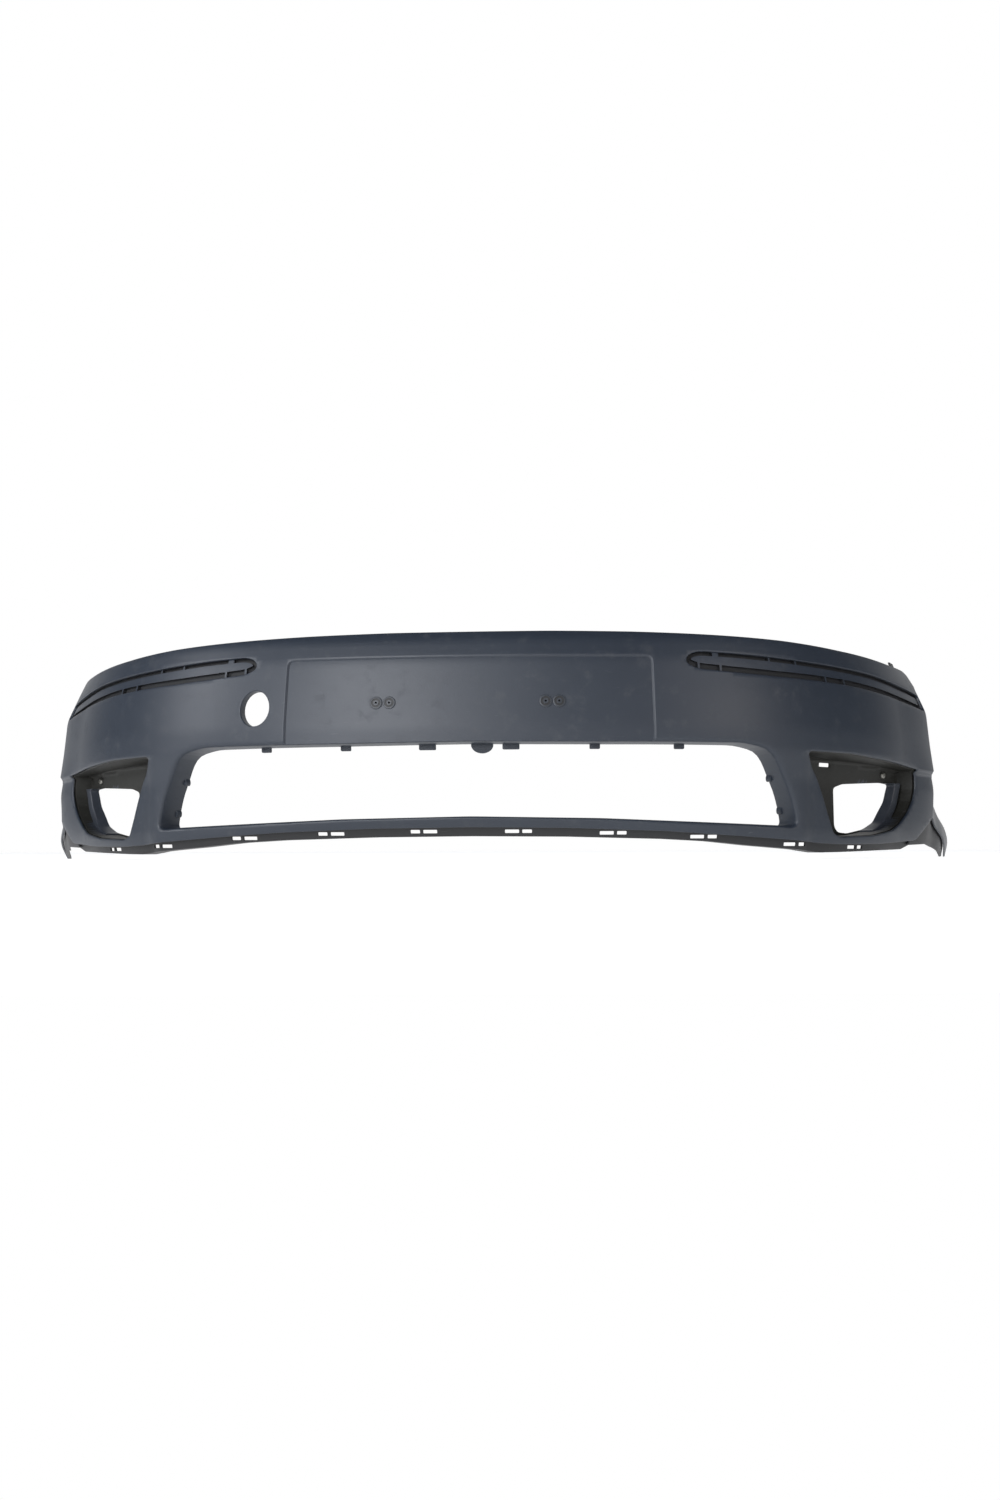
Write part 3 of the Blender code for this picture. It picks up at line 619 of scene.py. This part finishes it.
def pocket_solid(turn, side):
    """The unrolled liner: a brimmed box, hollowed, with its surround, screw bosses and holes."""
    liner = loft(turn(eased(grown(MOUTH_EDGE, 0.002), 0.006)),
                 [(BACKED, 0), (POCKET_FLOOR - 0.002, 0), (LAMP_DEPTH, -0.0035)])
    unite(liner, loft(turn(eased(grown(MOUTH_EDGE, BRIM), 0.006)),
                      [(BACKED + 0.00005, 0), (BACKED + WALL - 0.0005, 0)]))
    cut(liner, loft(turn(eased(grown(MOUTH_EDGE, -0.001), 0.005)), [(-0.01, 0), (POCKET_FLOOR, 0)]))
    surround = loft(turn(eased(grown(LAMP_HOLE, SURROUND_WIDTH), 0.008)),
                    [(SURROUND_FRONT, -0.002), (SURROUND_FRONT + 0.0007, -0.0006),
                     (SURROUND_FRONT + 0.002, 0), (LAMP_DEPTH - 0.001, 0)])
    inner_side = box_outline(0.60, SURROUND_START, 0.0, 0.2)
    above_hole = [(0.70, 0.2), (0.70, 0.1215), (0.80, 0.1275), (0.90, 0.1290), (0.90, 0.2)]
    aside = [loft(turn(outline), [(0.01, 0), (0.08, 0)]) for outline in (inner_side, above_hole)]
    outside = loft(turn(grown(MOUTH_EDGE, 0.040)), [(0.005, 0), (0.075, 0)])
    cut(outside, loft(turn(eased(grown(MOUTH_EDGE, 0.001), 0.005)), [(0.0, 0), (0.08, 0)]))
    cut(surround, *aside, outside)
    unite(liner, surround)
    boss = rounded_front(POCKET_FLOOR - 0.0026, POCKET_FLOOR + 0.001)
    unite(liner, *[loft(round_at(place, BOSS_RADIUS), boss) for place in turn(LAMP_SCREWS)])
    holes = [loft(turn(eased(LAMP_HOLE, 0.006)),
                  [(-0.01, 0.001), (SURROUND_FRONT, 0.001), (SURROUND_FRONT + 0.002, 0), (0.08, 0)])]
    holes += [loft(round_at(place, SCREW_HOLE, 16), [(-0.01, 0), (LAMP_DEPTH + 0.02, 0)])
              for place in turn(LAMP_SCREWS)]
    if side == "right":
        holes.append(loft(eased(box_outline(*CABLE_SLOT), 0.002), [(0.03, 0), (0.08, 0)]))
    return cut(liner, *holes)


def on_surround(middle):
    """1 on the raised satin surround, 0 on the black liner."""
    place, depth = (abs(middle.x), middle.z), middle.y
    beside = place[0] > SURROUND_START and place[1] < 0.1285
    between = SURROUND_FRONT - 0.02 < depth < POCKET_FLOOR - 0.004
    return int(beside and between and inside(grown(LAMP_HOLE, SURROUND_WIDTH + 0.0005), *place))


liner_black = black_plastic("liner_black", (0.0100, 0.0100, 0.0080), (0.0180, 0.0180, 0.0145), 0.48)
satin_slate = black_plastic("satin_slate", (0.022, 0.026, 0.034), (0.032, 0.037, 0.047), 0.32)
for side, turn in SIDES.items():
    pocket = bend_round(pocket_solid(turn, side), "lamp_liner_" + side, [liner_black, satin_slate],
                        reshape=pocket_taper, choose=on_surround)
    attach(pocket, "root")
    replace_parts(pocket, "lamp_pocket_" + side)

# ------------------------------------------------------------------ arch gussets
# A black stiffener in each lower corner, between the lamp mouth and the wheel arch: a 3 mm plate with a
# raised rib along it, pushed on from behind.

GUSSET_EDGE = [(0.842, 0.022), (0.846, 0.038), (0.920, 0.086), (0.936, 0.083), (1.150, 0.020),
               (1.168, 0.0005), (1.13, 0.0005), (1.00, 0.018), (0.93, 0.024)]
GUSSET_RIB = [(0.880, 0.030), (0.920, 0.055), (1.08, 0.021), (1.08, 0.017), (0.922, 0.048), (0.882, 0.026)]
for side, turn in SIDES.items():
    plate = loft(turn(eased(GUSSET_EDGE, 0.005)), rounded_front(BACKED, BACKED + WALL))
    unite(plate, loft(turn(eased(GUSSET_RIB, 0.002)),
                      [(BACKED + WALL / 2, 0), (0.015, 0), (0.016, -0.0008)]))
    gusset = bend_round(plate, "gusset_" + side, [black])
    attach(gusset, "root")
    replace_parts(gusset, "arch_gusset_" + side)

# ------------------------------------------------------------------ wing brackets
# A grey bracket at each upper corner that slides on to the wing's lower rail: a plate, a ribbed shelf
# and a tab that stands up behind the cover's corner.  Two screws hold it.

BRACKET_FRONT = GROOVE_DEPTH + WALL + 0.003
BRACKET_LOW, BRACKET_HIGH, BRACKET_SHELF = 0.266, 0.322, 0.045
BRACKET_EDGE = [(0.80, BRACKET_LOW), (0.915, BRACKET_LOW), (0.915, 0.352), (0.888, 0.352),
                (0.880, BRACKET_HIGH), (0.80, BRACKET_HIGH)]
BRACKET_SCREWS = [(0.835, 0.285), (0.895, 0.285)]
BRACKET_RIBS, BRACKET_HOLE = (0.815, 0.855, 0.875), 0.0026

grey = black_plastic("grey_moulding", (0.030, 0.031, 0.032), (0.045, 0.046, 0.047), 0.45)
for side, turn in SIDES.items():
    plate = loft(turn(eased(BRACKET_EDGE, 0.003)), rounded_front(BRACKET_FRONT, BRACKET_FRONT + WALL))
    shelf = box_outline(0.802, 0.913, BRACKET_HIGH - WALL - 0.0005, BRACKET_HIGH - 0.0005)
    ribs = [loft(turn(box_outline(s - 0.001, s + 0.001, 0.292, BRACKET_HIGH - WALL)),
                 [(BRACKET_FRONT + WALL / 2, 0), (BRACKET_FRONT + 0.012, 0)]) for s in BRACKET_RIBS]
    unite(plate, loft(turn(shelf), [(BRACKET_FRONT + WALL / 2, 0), (BRACKET_SHELF, 0)]), *ribs)
    cut(plate, *[loft(turn(oval(place, (BRACKET_HOLE, BRACKET_HOLE), 16)), [(-0.01, 0), (0.06, 0)])
                 for place in BRACKET_SCREWS])
    bracket = bend_round(plate, "wing_rail_" + side, [grey])
    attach(bracket, "root")
    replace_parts(bracket, "wing_bracket_" + side)

# ------------------------------------------------------------------ plate grommets
# Two pairs of round nylon plugs for the number plate's screws, pushed through the recess and primed
# over: a raised rim round a sunk seat, with the screw's pilot hole in the middle.  The seat is darkened with
# painted shade.

GROMMET_HEAD, GROMMET_THICK, GAP = 0.0095, 0.0012, 0.0003
SEAT_INNER, SEAT_OUTER, PILOT_HOLE = 0.0040, 0.0074, 0.0016


def plug_disc(s, radius, layers, sides=32):
    return loft(oval((s, BOSS_HEIGHT), (radius, radius), sides), layers)


def seat_painted_shade(s):
    """A finish chooser for the plug at s: 1 down in its ring-shaped seat, which takes the black finish as
    painted shade, 0 elsewhere.
    """
    def choose(middle):
        return int(SEAT_INNER < math.hypot(middle.x - s, middle.z - BOSS_HEIGHT) < SEAT_OUTER + 0.0002)
    return choose


primed_nylon, place = new_finish("primed_nylon", Specular_IOR_Level=0.5)
speckle = place.noise(900.0, 2.0)
set_finish(primed_nylon, Base_Color=speckle.mixed((0.016, 0.020, 0.027, 1), (0.026, 0.031, 0.040, 1)),
           Roughness=0.40 + speckle * 0.1, Normal=bumped(speckle, 0.0001, 0.4))
for number, s in enumerate(BOSS_PLACES, start=1):
    seat = PLATE_STEP - GAP
    head = plug_disc(s, GROMMET_HEAD, rounded_front(seat - GROMMET_THICK, seat, 0.0005))
    unite(head, plug_disc(s, BOSS_HOLE - 0.0004, [(seat - 0.0005, 0), (0.012, 0), (0.013, -0.0008)], 16))
    sunk = plug_disc(s, SEAT_OUTER, [(-0.01, 0), (seat - 0.0004, -0.0003)])
    cut(sunk, plug_disc(s, SEAT_INNER, [(-0.02, 0), (0.02, 0)]))
    cut(head, sunk, plug_disc(s, PILOT_HOLE, [(-0.01, 0), (0.010, 0)], 12))
    # painted shade: the sunk seat ring gets the black finish to darken the recess, while the plug itself is
    # primed over
    plug = bend_round(head, f"grommet_{number}", [primed_nylon, black], grid=(0.02, 0.02), choose=seat_painted_shade(s))
    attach(plug, "root")
    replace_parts(plug, f"plate_grommet_{number}")

# ------------------------------------------------------------------ spring nuts
# Folded spring-steel nuts, zinc plated, pushed over the edges of the top flange and the arch flanges:
# two leaves joined by a bend, with a short plain barrel under those of the top flange.

CLIP_WIDTH, CLIP_PLATE = 0.016, 0.0012
TOP_CLIPS, ARCH_CLIPS = (-0.42, -0.21, 0.03, 0.21, 0.42), (0.065, 0.165)


def zinc_plate():
    """Bright zinc over spring steel: passivated patches, fine pressing lines and dull spots."""
    mat, place = new_finish("zinc_plate", Metallic=1.0)
    patches = place.noise(90.0, 4.0, 0.6)
    lines = place.stretched((0.0, 0.0, 0.4), (1500.0, 90.0, 90.0)).noise(1.0, 2.0)
    spots = place.noise(520.0, 3.0).between(0.60, 0.72)
    colour = patches.mixed((0.20, 0.19, 0.165, 1), (0.32, 0.32, 0.30, 1))
    set_finish(mat, Base_Color=(spots * 0.5).mixed(colour, (0.12, 0.11, 0.09, 1)),
               Roughness=0.30 + patches * 0.15 + spots * 0.2, Normal=bumped(lines, 0.00005, 0.4))
    return mat


def turned(outline, layers, axis):
    """A loft whose layers run along the cover (axis 0) or up it (axis 2)."""
    shape = loft(outline, layers)
    order = {0: (1, 0, 2), 2: (0, 2, 1)}[axis]
    for vert in shape.data.vertices:
        vert.co = [vert.co[i] for i in order]
    shape.data.flip_normals()
    return shape


def arch_outline(low_z, high_z, inner, outer):
    """Four corners that follow the arch edge's lean, between two distances outside it."""
    heights, places = [z for s, z in AFT_EDGE[7:3:-1]], [s for s, z in AFT_EDGE[7:3:-1]]
    low_s, high_s = np.interp(low_z, heights, places), np.interp(high_z, heights, places)
    return [(low_s + inner, low_z), (low_s + outer, low_z),
            (high_s + outer, high_z), (high_s + inner, high_z)]


def fit_nut(shape, name, number):
    nut = bend_round(shape, f"{name}_{number}", [zinc], grid=(0.02, 0.02))
    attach(nut, "root")
    return nut


zinc = zinc_plate()
for number, s in enumerate(TOP_CLIPS, start=1):
    high_z = edge_height(TOP_EDGE, s) - TOP_FLANGE_DROP + 0.0008
    low_z = high_z - WALL - 0.0016
    front, back = 0.0065, TOP_FLANGE_DEPTH + 0.0017
    fold = [(front, high_z + CLIP_PLATE), (back, high_z + CLIP_PLATE), (back, low_z - CLIP_PLATE),
            (front, low_z - CLIP_PLATE), (front, low_z), (back - CLIP_PLATE, low_z),
            (back - CLIP_PLATE, high_z), (front, high_z)]
    half, middle = CLIP_WIDTH / 2, (front + back) / 2 - 0.001
    nut = turned(eased(fold, 0.0015), [(s - half, 0), (s + half, 0)], 0)
    under = low_z - CLIP_PLATE
    barrel = turned(oval((s, middle), (0.0042, 0.0042), 20),
                    [(under - 0.0035, -0.0006), (under - 0.003, 0), (low_z - 0.0004, 0)], 2)
    bore = turned(oval((s, middle), (0.0024, 0.0024), 16), [(low_z - 0.02, 0), (high_z + 0.02, 0)], 2)
    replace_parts(fit_nut(cut(unite(nut, barrel), bore), "top_nut", number), f"top_clip_nut_{number}")
number = 0
for z in ARCH_CLIPS:
    for turn in SIDES.values():
        number += 1
        half, back = CLIP_WIDTH / 2, ARCH_FLANGE_DEPTH + 0.0032
        nut = loft(turn(eased(arch_outline(z - half, z + half, -0.0062, 0.0022), 0.002)),
                   [(0.0085, 0), (back - 0.0012, 0), (back - 0.0003, -0.0004), (back, -0.0012)])
        gap = arch_outline(z - half - 0.001, z + half + 0.001, -0.0050, 0.0010)
        cut(nut, loft(turn(gap), [(0.001, 0), (ARCH_FLANGE_DEPTH + 0.0020, 0)]))
        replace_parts(fit_nut(nut, "arch_nut", number), f"arch_clip_nut_{number}")

# ------------------------------------------------------------------ screws and rivets
# Zinc pan-head screws with a cross recess hold the lamp pockets and the wing brackets, and black
# push rivets hold the lower strip.


def round_headed(place, head, shank, near, far, tip, recess):
    """A head between two depths, domed on the near side, with a shank from it to a tip depth."""
    away = 1 if far > near else -1
    size = abs(far - near)
    dome = [(near, -head * 0.45), (near + away * size * 0.12, -head * 0.22),
            (near + away * size * 0.35, -head * 0.06), (near + away * size * 0.65, 0), (far, 0)]
    pin = loft(oval(place, (head, head), 28), dome)
    unite(pin, loft(oval(place, (shank, shank), 16), [(near + away * size / 2, 0), (tip, 0)]))
    if recess:
        arm, slot_half = head * 0.5, head * 0.11
        for wide, tall in ((arm, slot_half), (slot_half, arm)):
            outline = box_outline(place[0] - wide, place[0] + wide, place[1] - tall, place[1] + tall)
            cut(pin, loft(outline, [(near - away * 0.01, 0), (near + away * size * 0.45, -slot_half * 0.3)]))
    return pin


def both(places):
    return sorted((side * s, z) for s, z in places for side in (-1, 1))


def fit_pins(places, name, node, slot, finish, reshape=None, **sizes):
    for number, place in enumerate(places, start=1):
        pin = bend_round(round_headed(place, **sizes), f"{name}_{number}", [finish], (0.02, 0.02), reshape)
        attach(pin, "root")
        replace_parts(pin, f"{node}_{number}")


fit_pins(both(LAMP_SCREWS), "liner_screw", "lamp_screw", "zinc_steel", zinc, pocket_taper, head=0.0055,
         shank=0.0022, near=POCKET_FLOOR - 0.0068, far=POCKET_FLOOR - 0.0028,
         tip=LAMP_DEPTH + 0.012, recess=True)
rivet_back = STRIP_FRONT + WALL + 3 * GAP
fit_pins(sorted(rivet_places()), "push_rivet", "strip_rivet", "black_plastic", black, head=0.0035,
         shank=0.0015, near=rivet_back + 0.0015, far=rivet_back, tip=BACKED + 0.0002, recess=False)
screw_back = BRACKET_FRONT + WALL + GAP
fit_pins(both(BRACKET_SCREWS), "rail_screw", "bracket_screw", "zinc_steel", zinc, head=0.0055,
         shank=0.0022, near=screw_back + 0.003, far=screw_back, tip=BRACKET_FRONT + 0.0002, recess=True)

# ------------------------------------------------------------------ stage
# A flat pale floor that glows a little, a room that is bright only beyond the part, lights and the camera.

bm = bmesh.new()
bmesh.ops.create_grid(bm, x_segments=1, y_segments=1, size=30.0)
floor_mesh = bpy.data.meshes.new("floor")
bm.to_mesh(floor_mesh)
bm.free()
floor = bpy.data.objects.new("floor", floor_mesh)
bpy.context.scene.collection.objects.link(floor)
floor_finish, _ = new_finish("pale_floor", Base_Color=(0.9, 0.9, 0.9, 1), Roughness=0.9,
                             Emission_Color=(1, 1, 1, 1), Emission_Strength=0.72)
floor_mesh.materials.append(floor_finish)

world = bpy.data.worlds.new("studio")
world.use_nodes = True
backdrop = Wire(world.node_tree).node("ShaderNodeTexCoord", {}, {}, "Generated")
ahead = backdrop.node("ShaderNodeSeparateXYZ", {}, {"Vector": backdrop}, "Y").between(0.40, 0.66)
room = ahead.mixed((0.060, 0.074, 0.096, 1), (1.0, 1.0, 1.0, 1))
world.node_tree.links.new(room.socket, world.node_tree.nodes["Background"].inputs["Color"])
bpy.context.scene.world = world
bpy.context.scene.view_settings.view_transform = "Standard"


def soft_light(name, place, target, size, power, colour=(1.0, 1.0, 1.0)):
    lamp = bpy.data.lights.new(name, "AREA")
    lamp.shape = "RECTANGLE"
    lamp.size, lamp.size_y = size
    lamp.energy = power
    lamp.color = colour
    light = bpy.data.objects.new(name, lamp)
    light.location = place
    light.rotation_euler = (Vector(target) - Vector(place)).to_track_quat("-Z", "Y").to_euler()
    bpy.context.scene.collection.objects.link(light)


soft_light("key", (-0.95, -2.9, 1.0), (-0.15, -0.3, 0.2), (0.35, 1.4), 56, (0.96, 0.97, 1.0))
soft_light("side", (-2.6, -1.6, 1.2), (-0.7, 0.0, 0.2), (0.5, 1.2), 30, (0.96, 0.97, 1.0))
soft_light("fill", (2.3, -2.6, 1.2), (0.4, -0.2, 0.2), (0.9, 1.2), 20, (1.0, 0.93, 0.88))

CAMERA_PLACE = (0.1391, -1.7671, 0.0142)
CAMERA_RIGHT, CAMERA_UP = (0.9981, 0.0617, -0.003), (0.0094, -0.104, 0.9945)
CAMERA_AHEAD = (-0.061, 0.9927, 0.1043)
camera_data = bpy.data.cameras.new("camera")
camera_data.lens = 24.0
camera_data.sensor_width = 36.0
camera_data.shift_y = -0.0027
camera = bpy.data.objects.new("camera", camera_data)
axes = Matrix((CAMERA_RIGHT, CAMERA_UP, -Vector(CAMERA_AHEAD))).transposed()
camera.rotation_euler = axes.to_euler()
camera.location = CAMERA_PLACE
bpy.context.scene.collection.objects.link(camera)
bpy.context.scene.camera = camera
